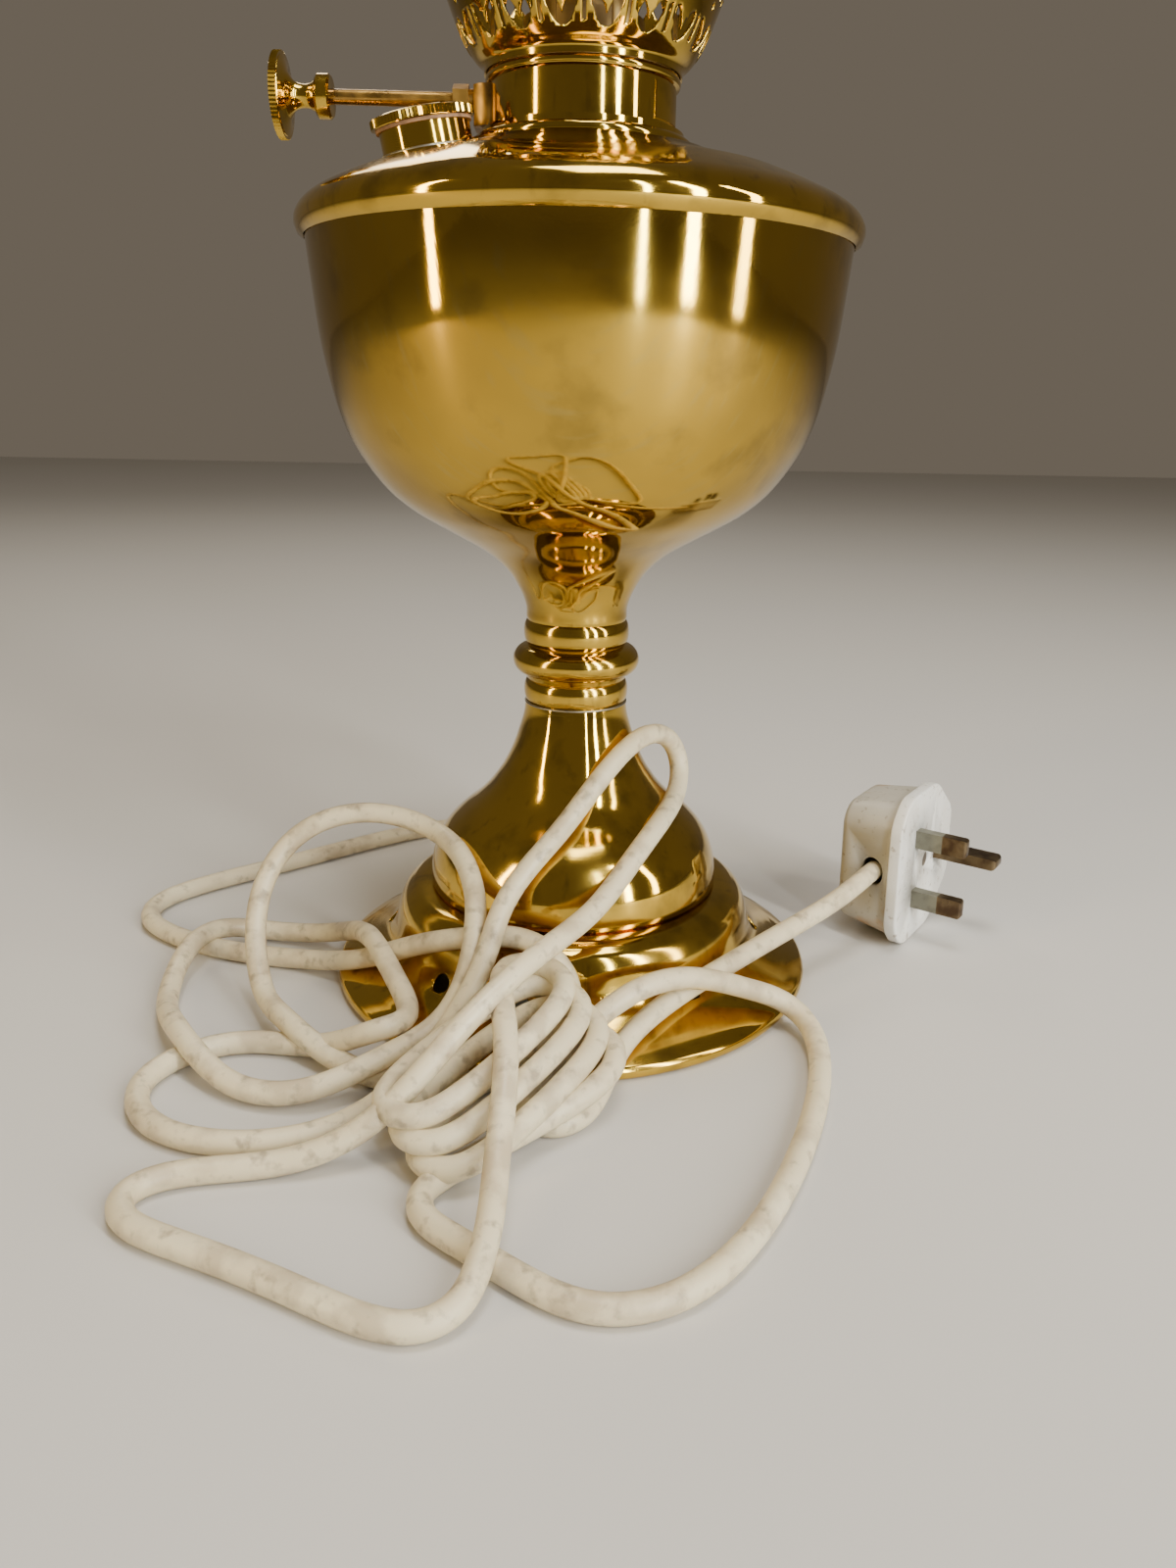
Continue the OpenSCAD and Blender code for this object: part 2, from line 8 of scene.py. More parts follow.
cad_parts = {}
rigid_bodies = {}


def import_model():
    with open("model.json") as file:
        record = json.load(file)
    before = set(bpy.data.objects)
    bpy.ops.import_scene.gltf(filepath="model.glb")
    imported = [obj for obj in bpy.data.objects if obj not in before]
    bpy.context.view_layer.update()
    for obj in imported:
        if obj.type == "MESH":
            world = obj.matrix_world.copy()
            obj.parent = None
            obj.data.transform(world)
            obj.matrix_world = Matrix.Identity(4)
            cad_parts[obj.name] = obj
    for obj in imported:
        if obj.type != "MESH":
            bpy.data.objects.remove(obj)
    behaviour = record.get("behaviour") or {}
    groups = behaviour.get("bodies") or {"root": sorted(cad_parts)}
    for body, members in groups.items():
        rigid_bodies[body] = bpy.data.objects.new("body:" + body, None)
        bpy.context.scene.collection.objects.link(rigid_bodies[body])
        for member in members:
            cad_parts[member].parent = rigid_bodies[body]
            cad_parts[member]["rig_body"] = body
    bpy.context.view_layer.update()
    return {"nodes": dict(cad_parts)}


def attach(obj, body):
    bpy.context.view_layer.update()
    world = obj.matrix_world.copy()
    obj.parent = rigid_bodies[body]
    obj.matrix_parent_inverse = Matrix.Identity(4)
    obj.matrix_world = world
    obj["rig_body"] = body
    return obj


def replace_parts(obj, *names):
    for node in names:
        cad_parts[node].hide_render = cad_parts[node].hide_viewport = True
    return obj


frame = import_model()

MM = 0.001
TURN = 2 * math.pi
FLEX_RADIUS = 3.2  # mm
SHEET = 1.0  # mm, spun brass
GALLERY_SHEET = 0.8  # mm

# The flex's route in millimetres, in stretches from the foot to the plug. The wound turns come
# between FRONT_LOOP and RUN_TO_PLUG, and coil_point works them out.
RUN_OUT = [
    (0, 82, 21), (-1, 92, 17), (-5, 102, 9), (-14, 112, 3.2), (-34, 119, 3.2), (-60, 115, 3.2),
    (-86, 96, 3.2), (-112, 73, 3.2), (-137, 54, 3.2), (-152, 38, 3.2), (-152, 22, 3.2),
    (-140, 9, 3.2), (-121, -2, 3.2), (-100, -8, 3.2), (-83, -12, 4), (-69, -22, 9), (-57, -32, 17),
    (-44, -43, 26), (-31, -50, 31), (-19, -52, 33), (-9, -56, 32), (-2, -60, 26), (1, -65, 18),
    (-4, -71, 12), (-13, -77, 7), (-22, -82, 4), (-32, -84, 3.2), (-45, -82, 3.2),
]
HIGH_LOOP = [
    (-60, -76, 3.2), (-74, -67, 7), (-84, -57, 9.6), (-93, -42, 6), (-98, -32, 15),
    (-100, -22, 29), (-95, -13, 42), (-84, -9, 51), (-70, -9, 55), (-57, -9, 54), (-44, -14, 51),
    (-34, -29, 49), (-29, -41, 42), (-28, -52, 37), (-29, -59, 27), (-33, -64, 17), (-40, -70, 11),
]
MIDDLE_LOOP = [
    (-53, -81, 9.6), (-70, -91, 5), (-90, -86, 3.2), (-104, -74, 8), (-115, -59, 9),
    (-123, -42, 3.2), (-127, -22, 5), (-125, -4, 9.6), (-117, 8, 7), (-100, 10, 3.2), (-83, 4, 6),
    (-73, -8, 13), (-66, -21, 19), (-60, -34, 21), (-53, -47, 17), (-47, -58, 14), (-46, -68, 14),
    (-52, -75, 16),
]
LOW_LOOP = [
    (-62, -71, 10), (-74, -64, 3.2), (-92, -59, 3.2), (-108, -65, 3.2), (-118, -80, 3.2),
    (-112, -97, 3.2), (-97, -107, 3.2), (-78, -109, 3.2), (-62, -104, 3.2), (-51, -94, 4),
]
LEANING_LOOP = [
    (-41, -82, 8), (-32, -71, 17), (-25, -62, 28), (-22, -54, 39), (-18, -47, 45), (-12, -43, 52),
    (-4, -37, 59), (4, -29, 68), (12, -20, 76), (20, -10, 81), (27, 0, 80), (32, 8, 75),
    (35, 10, 68), (35, 6, 62), (33, -4, 59), (29, -17, 58), (25, -30, 58), (19, -40, 54),
    (12, -49, 47), (5, -58, 42), (-3, -68, 40), (-12, -79, 38), (-21, -90, 34), (-31, -100, 27),
    (-41, -108, 17),
]
FRONT_LOOP = [
    (-53, -113, 8), (-68, -116, 3.2), (-84, -118, 3.2), (-97, -120, 3.2), (-105, -127, 3.2),
    (-101, -137, 3.2), (-88, -143, 3.2), (-74, -149, 3.2), (-58, -157, 3.2), (-42, -166, 3.2),
    (-30, -169, 3.2), (-21, -163, 4), (-18, -152, 8), (-17, -141, 10), (-17, -129, 13),
    (-16, -117, 20), (-16, -103, 27), (-18, -89, 31), (-20, -75, 31),
]
RUN_TO_PLUG = [
    (-31, -120, 3.2), (-36, -128, 3.2), (-33, -137, 3.2), (-23, -144, 3.2), (-10, -155, 3.2),
    (5, -165, 3.2), (25, -161, 3.2), (43, -141, 3.2), (57, -114, 3.2), (67, -88, 3.2),
    (72, -66, 3.2), (71, -50, 5), (63, -44, 9), (52, -49, 14.5), (40, -55, 21), (28, -62, 25),
    (16, -69, 24), (5, -74, 17), (-5, -80, 9), (-12, -88, 5), (-12, -98, 3.2), (-3, -102, 3.2),
    (5, -95, 3.2), (9, -84, 6), (13, -74, 9.5), (20, -65, 12.5), (32, -55, 16.5), (47, -42, 18.5),
    (61, -29, 20), (74, -17, 21), (86, -7, 23), (95, 1, 25.5), (102, 9, 27), (105, 13, 27),
]
COIL_TURNS = 3
COIL_STEPS = 14  # points in one turn
COIL_MIDDLE = (-19, -93)  # mm
COIL_WAY = (0.64, 0.77)  # the way that its long side points
COIL_RADIUS = 12.8  # mm
COIL_REACH = 18  # mm, from the middle to the round of each end
COIL_SHARPNESS = 3  # how soon a long side turns into an end
TURN_STEP = 6.0  # mm sideways from one turn to the next
TURN_DROP = 4.508  # mm that each turn sinks
COIL_TILT = 0.19  # rise along its long side


# ---- curves ----
def smooth(points, steps):
    """A smooth curve through the points, with so many steps between neighbours."""
    p = [Vector(q) for q in points]
    p = [2 * p[0] - p[1]] + p + [2 * p[-1] - p[-2]]
    out = []
    for a, b, c, d in zip(p, p[1:], p[2:], p[3:]):
        for j in range(steps):
            t = j / steps
            out.append(
                0.5 * (2 * b + (c - a) * t + (2 * a - 5 * b + 4 * c - d) * t * t
                       + (3 * b - a - 3 * c + d) * t ** 3)
            )
    return out + [p[-2]]


def rounded(points, steps):
    """A softer curve, which keeps near the points and rounds their corners off."""
    p = [Vector(q) for q in points]
    p = [2 * p[0] - p[1]] + p + [2 * p[-1] - p[-2]]
    out = []
    for a, b, c, d in zip(p, p[1:], p[2:], p[3:]):
        for j in range(steps):
            t = j / steps
            out.append(
                ((1 - t) ** 3 * a + (3 * t ** 3 - 6 * t * t + 4) * b
                 + (1 + 3 * t + 3 * t * t - 3 * t ** 3) * c + t ** 3 * d) / 6
            )
    return out + [p[-2]]


def flat(points, steps):
    """The smooth curve through (radius, height) pairs, as pairs."""
    return [(q[0], q[1]) for q in smooth([(r, z, 0) for r, z in points], steps)]


def arc(centre, rx, ry, start, end, steps):
    """Points on part of an ellipse, from one angle to another in degrees."""
    angles = [math.radians(start + (end - start) * i / steps) for i in range(steps + 1)]
    return [(centre[0] + rx * math.cos(a), centre[1] + ry * math.sin(a)) for a in angles]


def inner_side(outline, wall):
    """The inner line of a spun wall: each point moved in by the wall's thickness."""
    p = [Vector(q) for q in outline]
    p = [2 * p[0] - p[1]] + p + [2 * p[-1] - p[-2]]
    out = []
    for a, b, c in zip(p, p[1:], p[2:]):
        d = (c - a).normalized()
        out.append((b.x - wall * d.y, b.y + wall * d.x))
    return out


# ---- camera and lights ----
def make_camera():
    lens_data = bpy.data.cameras.new("camera")
    lens_data.lens, lens_data.sensor_width, lens_data.sensor_fit = 26.8, 36, "AUTO"
    lens_data.shift_x, lens_data.shift_y = -0.015, -0.0631
    lens_data.clip_start, lens_data.clip_end = 0.01, 20
    camera = bpy.data.objects.new("camera", lens_data)
    right = Vector((0.99946, -0.0267, 0.01934))
    up = Vector((-0.01246, 0.23696, 0.97144))
    back = Vector((-0.03052, -0.97115, 0.2365))
    turn = Matrix((right, up, back)).transposed().to_4x4()
    camera.matrix_world = Matrix.Translation((0, -0.3653, 0.1843)) @ turn
    bpy.context.scene.collection.objects.link(camera)
    bpy.context.scene.camera = camera


def softbox(name, place, aim, size, power, colour):
    data = bpy.data.lights.new(name, "AREA")
    data.shape, data.size, data.size_y = "RECTANGLE", size[0], size[1]
    data.energy, data.color = power, colour
    lamp = bpy.data.objects.new(name, data)
    lamp.location = place
    lamp.rotation_euler = (Vector(aim) - Vector(place)).to_track_quat("-Z", "Y").to_euler()
    bpy.context.scene.collection.objects.link(lamp)


def light_studio():
    aim = (0, 0, 0.16)
    level = (0, 0, 0.6)  # the windows stand upright
    softbox("window", (0.78, -0.85, 0.72), level, (0.1, 1.35), 20, (1.0, 0.99, 0.93))
    softbox("second_window", (0.46, -1.08, 0.66), level, (0.05, 1.25), 8, (0.93, 0.98, 1.0))
    softbox("third_window", (1.0, -0.45, 0.66), level, (0.09, 1.2), 7, (1.0, 0.93, 0.78))
    softbox("left_window", (-1.0, -0.6, 0.6), level, (0.07, 1.1), 8, (1.0, 0.78, 0.42))
    softbox("overhead", (0.1, -0.2, 1.4), aim, (0.5, 0.5), 11, (1.0, 0.98, 0.94))
    softbox("back_rim", (-0.4, 1.1, 1.1), aim, (0.4, 0.4), 3, (1.0, 0.9, 0.75))
    world = bpy.data.worlds.new("studio")
    world.use_nodes = True
    world.node_tree.nodes["Background"].inputs["Color"].default_value = (0.5, 0.42, 0.32, 1)
    world.node_tree.nodes["Background"].inputs["Strength"].default_value = 0.3
    bpy.context.scene.world = world


def lay_floor():
    bm = bmesh.new()
    bmesh.ops.create_grid(bm, x_segments=1, y_segments=1, size=3)
    floor = as_object(bm, "floor", floor_finish())
    floor.data.transform(Matrix.Translation((0, 0, -0.0001)))


# ---- finishes ----
class Finish:
    """A material on Object coordinates, built up a layer at a time."""

    def __init__(self, name, colour, roughness, metallic=0.0):
        self.material = bpy.data.materials.new(name)
        self.material.use_nodes = True
        self.nodes = self.material.node_tree.nodes
        self.links = self.material.node_tree.links
        self.shader = self.nodes["Principled BSDF"]
        self.shader.inputs["Base Color"].default_value = (*colour, 1)
        self.shader.inputs["Roughness"].default_value = roughness
        self.shader.inputs["Metallic"].default_value = metallic
        self.place = self.nodes.new("ShaderNodeTexCoord").outputs["Object"]
        self.colour = None

    def noise(self, scale, detail=4.0, stretch=(1, 1, 1), turn=(0, 0, 0)):
        mapping = self.nodes.new("ShaderNodeMapping")
        mapping.inputs["Scale"].default_value = stretch
        mapping.inputs["Rotation"].default_value = turn
        self.links.new(self.place, mapping.inputs["Vector"])
        cloud = self.nodes.new("ShaderNodeTexNoise")
        cloud.inputs["Scale"].default_value = scale
        cloud.inputs["Detail"].default_value = detail
        self.links.new(mapping.outputs["Vector"], cloud.inputs["Vector"])
        return cloud.outputs["Fac"]

    def span(self, value, low, high, to_low=0.0, to_high=1.0):
        spread = self.nodes.new("ShaderNodeMapRange")
        for socket, number in zip(("From Min", "From Max", "To Min", "To Max"),
                                  (low, high, to_low, to_high)):
            spread.inputs[socket].default_value = number
        self.links.new(value, spread.inputs["Value"])
        return spread.outputs["Result"]

    def tint(self, amount, colour):
        """Lays another colour over the one so far, by the amount."""
        mix = self.nodes.new("ShaderNodeMix")
        mix.data_type = "RGBA"
        if self.colour is None:
            mix.inputs["A"].default_value = self.shader.inputs["Base Color"].default_value
        else:
            self.links.new(self.colour, mix.inputs["A"])
        mix.inputs["B"].default_value = (*colour, 1)
        self.links.new(amount, mix.inputs["Factor"])
        self.colour = mix.outputs["Result"]
        self.links.new(self.colour, self.shader.inputs["Base Color"])

    def rough(self, value):
        self.links.new(value, self.shader.inputs["Roughness"])

    def bump(self, height, strength, depth=0.0001):
        bump = self.nodes.new("ShaderNodeBump")
        bump.inputs["Strength"].default_value = strength
        bump.inputs["Distance"].default_value = depth
        self.links.new(height, bump.inputs["Height"])
        self.links.new(bump.outputs["Normal"], self.shader.inputs["Normal"])


def polished_brass():
    f = Finish("polished_brass", (0.66, 0.43, 0.06), 0.1, 1.0)
    f.tint(f.span(f.noise(20), 0.42, 0.66, 0, 0.6), (0.38, 0.25, 0.04))
    f.tint(f.span(f.noise(75, 5), 0.52, 0.68, 0, 0.5), (0.22, 0.145, 0.03))
    f.tint(f.span(f.noise(300, 5, (1, 1, 0.2)), 0.6, 0.76, 0, 0.4), (0.14, 0.095, 0.035))
    f.rough(f.span(f.noise(34, 6), 0.38, 0.64, 0.04, 0.17))
    f.bump(f.noise(90, 3, (1, 1, 22), (0.5, 0.9, 0.2)), 0.07)
    return f.material


def rubbed_brass():
    """The font's bowl: a mirror with patches of haze and fine slanting scratches."""
    f = Finish("rubbed_brass", (0.56, 0.36, 0.05), 0.08, 1.0)
    f.tint(f.span(f.noise(13), 0.42, 0.66, 0, 0.6), (0.30, 0.2, 0.045))
    f.tint(f.span(f.noise(48, 5), 0.54, 0.68, 0, 0.45), (0.2, 0.135, 0.04))
    scratches = f.noise(60, 6, (1, 14, 2), (0.2, 0.7, 0.6))
    f.tint(f.span(scratches, 0.56, 0.72, 0, 0.45), (0.46, 0.34, 0.1))
    f.rough(f.span(f.noise(17, 6), 0.4, 0.66, 0.025, 0.12))
    f.bump(f.noise(120, 4, (1, 26, 3), (0.2, 0.7, 0.6)), 0.05)
    return f.material


def patina_brass():
    """Small burner fittings that a cloth doesn't reach: brown in the hollows."""
    f = Finish("patina_brass", (0.50, 0.29, 0.07), 0.24, 1.0)
    f.tint(f.span(f.noise(110, 5), 0.4, 0.6, 0, 0.85), (0.13, 0.075, 0.03))
    f.rough(f.span(f.noise(90, 5), 0.35, 0.65, 0.16, 0.45))
    f.bump(f.noise(500, 4), 0.15)
    return f.material


def dull_brass():
    f = Finish("dull_brass", (0.44, 0.31, 0.13), 0.42, 1.0)
    f.tint(f.span(f.noise(60, 6), 0.42, 0.7), (0.20, 0.14, 0.07))
    f.rough(f.span(f.noise(90, 5), 0.3, 0.7, 0.32, 0.62))
    f.bump(f.noise(600, 4), 0.2)
    return f.material


def solder():
    f = Finish("solder", (0.36, 0.34, 0.28), 0.42, 1.0)
    f.tint(f.span(f.noise(300, 5), 0.45, 0.7), (0.30, 0.28, 0.24))
    f.bump(f.noise(700, 4), 0.5, 0.0002)
    return f.material


def aged_flex():
    f = Finish("flex_sheath", (0.68, 0.59, 0.40), 0.42)
    f.shader.inputs["Subsurface Weight"].default_value = 0.04
    f.tint(f.span(f.noise(26, 5), 0.4, 0.64, 0, 0.65), (0.60, 0.50, 0.32))
    f.tint(f.span(f.noise(95, 6), 0.5, 0.64, 0, 0.6), (0.40, 0.32, 0.21))
    f.tint(f.span(f.noise(240, 6), 0.55, 0.7, 0, 0.6), (0.2, 0.16, 0.11))
    f.rough(f.span(f.noise(60, 4), 0.36, 0.64, 0.34, 0.6))
    f.bump(f.noise(900, 4), 0.15)
    return f.material


def plug_face():
    """The plug's front plate: white, soiled at the edges."""
    f = Finish("plug_face", (0.72, 0.71, 0.67), 0.33)
    f.tint(f.span(f.noise(60, 5), 0.44, 0.66, 0, 0.45), (0.60, 0.55, 0.45))
    f.tint(f.span(f.noise(420, 4), 0.6, 0.7, 0, 0.7), (0.28, 0.22, 0.16))
    f.rough(f.span(f.noise(80, 5), 0.35, 0.65, 0.26, 0.5))
    f.bump(f.noise(1400, 3), 0.12)
    return f.material


def plug_body():
    """The plug's cover: greyed, with amber stains."""
    f = Finish("plug_body", (0.50, 0.47, 0.40), 0.36)
    f.tint(f.span(f.noise(34, 5), 0.42, 0.64, 0, 0.55), (0.36, 0.33, 0.26))
    stains = f.noise(52, 4, (1, 1, 1), (0.7, 0.2, 0.4))
    f.tint(f.span(stains, 0.58, 0.68, 0, 0.75), (0.42, 0.22, 0.06))
    f.tint(f.span(f.noise(480, 4), 0.6, 0.7, 0, 0.7), (0.2, 0.16, 0.11))
    f.rough(f.span(f.noise(80, 5), 0.35, 0.65, 0.28, 0.52))
    f.bump(f.noise(1400, 3), 0.14)
    return f.material


def pin_metal():
    f = Finish("pin_metal", (0.19, 0.14, 0.08), 0.34, 1.0)
    f.tint(f.span(f.noise(180, 5), 0.4, 0.62), (0.085, 0.055, 0.035))
    f.rough(f.span(f.noise(140, 4), 0.35, 0.65, 0.26, 0.5))
    f.bump(f.noise(260, 3, (1, 1, 12)), 0.2)
    return f.material


def sleeve_plastic():
    f = Finish("pin_sleeve", (0.15, 0.145, 0.105), 0.45)
    f.tint(f.span(f.noise(300, 4), 0.45, 0.66, 0, 0.6), (0.08, 0.075, 0.055))
    f.bump(f.noise(1200, 3), 0.1)
    return f.material


def wick_cotton():
    f = Finish("wick_cotton", (0.80, 0.74, 0.60), 0.95)
    f.tint(f.span(f.noise(900, 2, (1, 1, 0.25)), 0.4, 0.65), (0.52, 0.45, 0.33))
    f.bump(f.noise(1100, 2, (1, 1, 0.3)), 0.8, 0.0003)
    return f.material


def washer_leather():
    f = Finish("washer_leather", (0.30, 0.17, 0.09), 0.8)
    f.tint(f.span(f.noise(500, 4), 0.4, 0.7), (0.16, 0.09, 0.05))
    f.bump(f.noise(1200, 4), 0.6, 0.0002)
    return f.material


def bakelite():
    f = Finish("bakelite", (0.045, 0.025, 0.016), 0.24)
    f.tint(f.span(f.noise(140, 6), 0.45, 0.7, 0, 0.7), (0.10, 0.045, 0.025))
    f.rough(f.span(f.noise(90, 4), 0.3, 0.7, 0.18, 0.42))
    return f.material


def fuse_ceramic():
    f = Finish("fuse_ceramic", (0.85, 0.83, 0.78), 0.25)
    f.tint(f.span(f.noise(300, 3), 0.5, 0.75, 0, 0.3), (0.6, 0.57, 0.5))
    return f.material


def floor_finish():
    f = Finish("floor", (0.56, 0.54, 0.51), 0.6)
    f.tint(f.span(f.noise(3, 3), 0.3, 0.7, 0, 0.15), (0.51, 0.49, 0.46))
    return f.material


# ---- making pieces ----
def as_object(bm, name, material, body=None, sharp=38):
    """Closes the doubles, turns the faces out, rounds the shading and puts it in the scene."""
    bmesh.ops.remove_doubles(bm, verts=bm.verts, dist=2e-6)
    bmesh.ops.recalc_face_normals(bm, faces=bm.faces)
    for face in bm.faces:
        face.smooth = True
    for edge in bm.edges:
        edge.smooth = edge.calc_face_angle(0) < math.radians(sharp)
    mesh = bpy.data.meshes.new(name)
    bm.to_mesh(mesh)
    bm.free()
    mesh.materials.append(material)
    piece = bpy.data.objects.new(name, mesh)
    bpy.context.scene.collection.objects.link(piece)
    if body:
        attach(piece, body)
    return piece


def spin_outline(bm, outline, steps):
    """Spins a closed outline of (radius, height) pairs in mm round the lamp's axis."""
    verts = [bm.verts.new((r * MM, 0, z * MM)) for r, z in outline]
    edges = [bm.edges.new(pair) for pair in zip(verts, verts[1:] + verts[:1])]
    bmesh.ops.spin(bm, geom=verts + edges, cent=(0, 0, 0), axis=(0, 0, 1), dvec=(0, 0, 0),
                   angle=TURN, steps=steps, use_merge=True)


def turned(name, outline, material, node, steps=160, place=None):
    """A spun piece that stands in for a node, in the node's own body."""
    bm = bmesh.new()
    spin_outline(bm, outline, steps)
    if place:
        bmesh.ops.transform(bm, matrix=place, verts=bm.verts)
    body = frame["nodes"][node]["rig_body"]
    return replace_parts(as_object(bm, name, material, body), node)


def drill(piece, cutter, overlapping=False):
    """Cuts the cutter's shape out of the piece, and takes the cutter away."""
    cut = piece.modifiers.new("cut", "BOOLEAN")
    cut.operation, cut.solver, cut.object = "DIFFERENCE", "EXACT", cutter
    cut.use_self = overlapping
    graph = bpy.context.evaluated_depsgraph_get()
    mesh = bpy.data.meshes.new_from_object(piece.evaluated_get(graph))
    piece.modifiers.clear()
    piece.data = mesh
    bpy.data.objects.remove(cutter)
    return piece


PLACE_OUT = Matrix.Rotation(math.radians(90), 4, "Y")


def at_heading(degrees, out, height, lean=0.0, tip=0.0):
    """A place on a wall: turned round the axis, so far out and so high, leant or tipped."""
    return (
        Matrix.Rotation(math.radians(degrees), 4, "Z")
        @ Matrix.Translation((out * MM, 0, height * MM))
        @ Matrix.Rotation(math.radians(tip), 4, "Y")
        @ Matrix.Rotation(math.radians(lean), 4, "X")
    )


def add_rod(bm, radius, length, segments, place):
    """A round bar along its place's Z."""
    made = bmesh.ops.create_cone(bm, cap_ends=True, segments=segments, radius1=radius * MM,
                                 radius2=radius * MM, depth=length * MM)
    bmesh.ops.transform(bm, matrix=place, verts=made["verts"])
    return made["verts"]


def round_cutter(bm, radius, length, place, stretch=1.0, segments=24):
    """A round bar along its place's X. A stretch makes it oval."""
    oval = Matrix.Diagonal((1, 1, stretch, 1))
    add_rod(bm, radius, length, segments, place @ oval @ PLACE_OUT)


# ---- foot, stem and font ----
AIR_HOLES = 14
THROUGH = 12  # mm, a cutter long enough to pass through a wall


def foot_skirt(brass):
    line = [(73.4, 0)] + arc((75.2, 2.4), 2.4, 2.4, -90, 60, 10) + flat(
        [(72, 6.2), (66.5, 9), (61.6, 12.2), (59.2, 15.6), (58.2, 19), (57.2, 23.4),
         (55.4, 27), (52.4, 29.4)], 5) + [(49, 30.2), (45.2, 30.3)]
    skirt = turned("foot_skirt_spun", line + inner_side(line, SHEET)[::-1], brass,
                   "foot_skirt", steps=224)
    bm = bmesh.new()
    for i in range(AIR_HOLES):
        place = at_heading(-2 + i * 360 / AIR_HOLES, 60.2, 13.8, tip=-37)
        round_cutter(bm, 3, THROUGH, place)
    round_cutter(bm, 5.1, 20, at_heading(90, 60, 21), segments=32)
    drill(skirt, as_object(bm, "skirt_cutter", brass))


def foot_bell(brass):
    line = [(45.4, 30.3), (46.8, 31), (47, 33)] + flat(
        [(46.7, 36), (46, 40), (44.2, 45), (41.2, 49.5), (37.2, 53.5), (32.4, 57.5),
         (28.3, 61.7), (25.3, 65.7), (22.8, 69.7), (20.1, 75.5), (18, 81.7), (16.7, 86.3),
         (16.1, 90.5)], 5)
    turned("foot_bell_spun", line + inner_side(line, SHEET)[::-1], brass, "foot_bell")


def stem_knop(brass, grey):
    line = [(12.3, 90.5), (15.8, 90.5)]
    for z, r, h in ((94.4, 16.6, 3.7), (104.3, 20.1, 4.7), (113.2, 16.7, 4)):
        line += arc((15.2, z), r - 15.2, h, -75, 75, 16)
    turned("stem_knop_turned", line + [(15.8, 118), (12.3, 118)], brass, "stem_knop")
    bm = bmesh.new()
    spin_outline(bm, arc((15.9, 90.5), 0.5, 0.35, 0, 345, 23), 120)
    as_object(bm, "stem_solder_line", grey, "lamp")


def font_bowl(rubbed):
    line = flat(
        [(15.9, 118), (16.1, 121.5), (17.9, 126.3), (21.7, 132.5), (28.7, 138.7),
         (40.8, 145.6), (50.4, 151.2), (58.6, 158.2), (66.2, 168.6), (70.4, 177.5),
         (73.2, 187), (75.9, 200), (77.7, 214), (79.2, 227.5)], 6)
    turned("font_bowl_spun", line + inner_side(line, SHEET)[::-1], rubbed, "font_bowl",
           steps=224)


FILLER_OUT, FILLER_HEIGHT = 45.6, 250  # mm
FILLER_HEADING, FILLER_TIP = 202, 12  # degrees
FILLER = at_heading(FILLER_HEADING, FILLER_OUT, FILLER_HEIGHT, tip=FILLER_TIP)


def font_shoulder(brass):
    line = [(79.6, 227.5), (81.2, 228.6)] + flat(
        [(82, 230.8), (81.8, 233), (80.2, 235.8), (77, 238.4), (72.3, 240.8), (66, 243.6),
         (60.7, 245.8)], 5) + [(40, 251.4), (38.8, 252.4), (37, 252.6), (28.6, 252.6)]
    shoulder = turned("font_shoulder_spun", line + inner_side(line, SHEET)[::-1], brass,
                      "font_shoulder", steps=224)
    bm = bmesh.new()
    add_rod(bm, 12.6, 20, 64, FILLER)
    drill(shoulder, as_object(bm, "filler_cutter", brass))


def font_collar(brass):
    line = [(25.6, 252.6)] + arc((30, 254.6), 2, 2, -90, 90, 12) + [
        (29.2, 256.6), (29.2, 258.4), (25.6, 258.4)]
    turned("font_collar_turned", line, brass, "font_collar")


KNURL_DEPTH = 0.35  # mm


def knurl(radius, low, high, count):
    """A disc with a coin edge: every other pair of the rim's vertices is moved in."""
    bm = bmesh.new()
    middle = Matrix.Translation((0, 0, (low + high) / 2 * MM))
    rim = add_rod(bm, radius, high - low, count * 2, middle)
    for i, v in enumerate(sorted(rim, key=lambda v: math.atan2(v.co.y, v.co.x))):
        if (i // 2) % 2:
            v.co.x *= 1 - KNURL_DEPTH / radius
            v.co.y *= 1 - KNURL_DEPTH / radius
    return bm


def filler_cap(brass, grey):
    line = [(0, 7), (9, 7), (9, 1), (10.94, 1), (10.94, 6.92), (13.6, 6.92), (13.8, 7.3),
            (13.8, 9.2), (13.2, 9.7), (11.6, 9.85), (11.2, 9.5), (0, 9.5)]
    turned("filler_cap_turned", line, brass, "filler_cap", steps=96, place=FILLER)
    bm = knurl(14.3, 7.2, 9.3, 84)
    bmesh.ops.transform(bm, matrix=FILLER, verts=bm.verts)
    as_object(bm, "filler_cap_coin_edge", brass, "cap", sharp=20)
    bm = bmesh.new()
    spin_outline(bm, arc((12.7, -0.3), 0.7, 0.6, 0, 345, 23), 72)
    bmesh.ops.transform(bm, matrix=FILLER, verts=bm.verts)
    as_object(bm, "filler_solder_fillet", grey, "lamp")


# ---- burner and gallery ----
WINDER_HEIGHT = 267  # mm
WINDER = (
    Matrix.Translation((0, 0, WINDER_HEIGHT * MM))
    @ Matrix.Rotation(math.radians(-90), 4, "Y")
)


def burner_collar(brass):
    line = [(26.6, 258.4), (26.6, 270.6), (27.2, 270.8), (27.6, 271)] + arc(
        (27.4, 272), 0.5, 0.9, -60, 60, 8) + [(27.6, 273), (25.9, 273), (25.8, 258.4)]
    collar = turned("burner_collar_turned", line, brass, "burner_collar", steps=192)
    bm = bmesh.new()
    add_rod(bm, 3.1, THROUGH, 32, WINDER @ Matrix.Translation((0, 0, 26 * MM)))
    drill(collar, as_object(bm, "winder_cutter", brass))


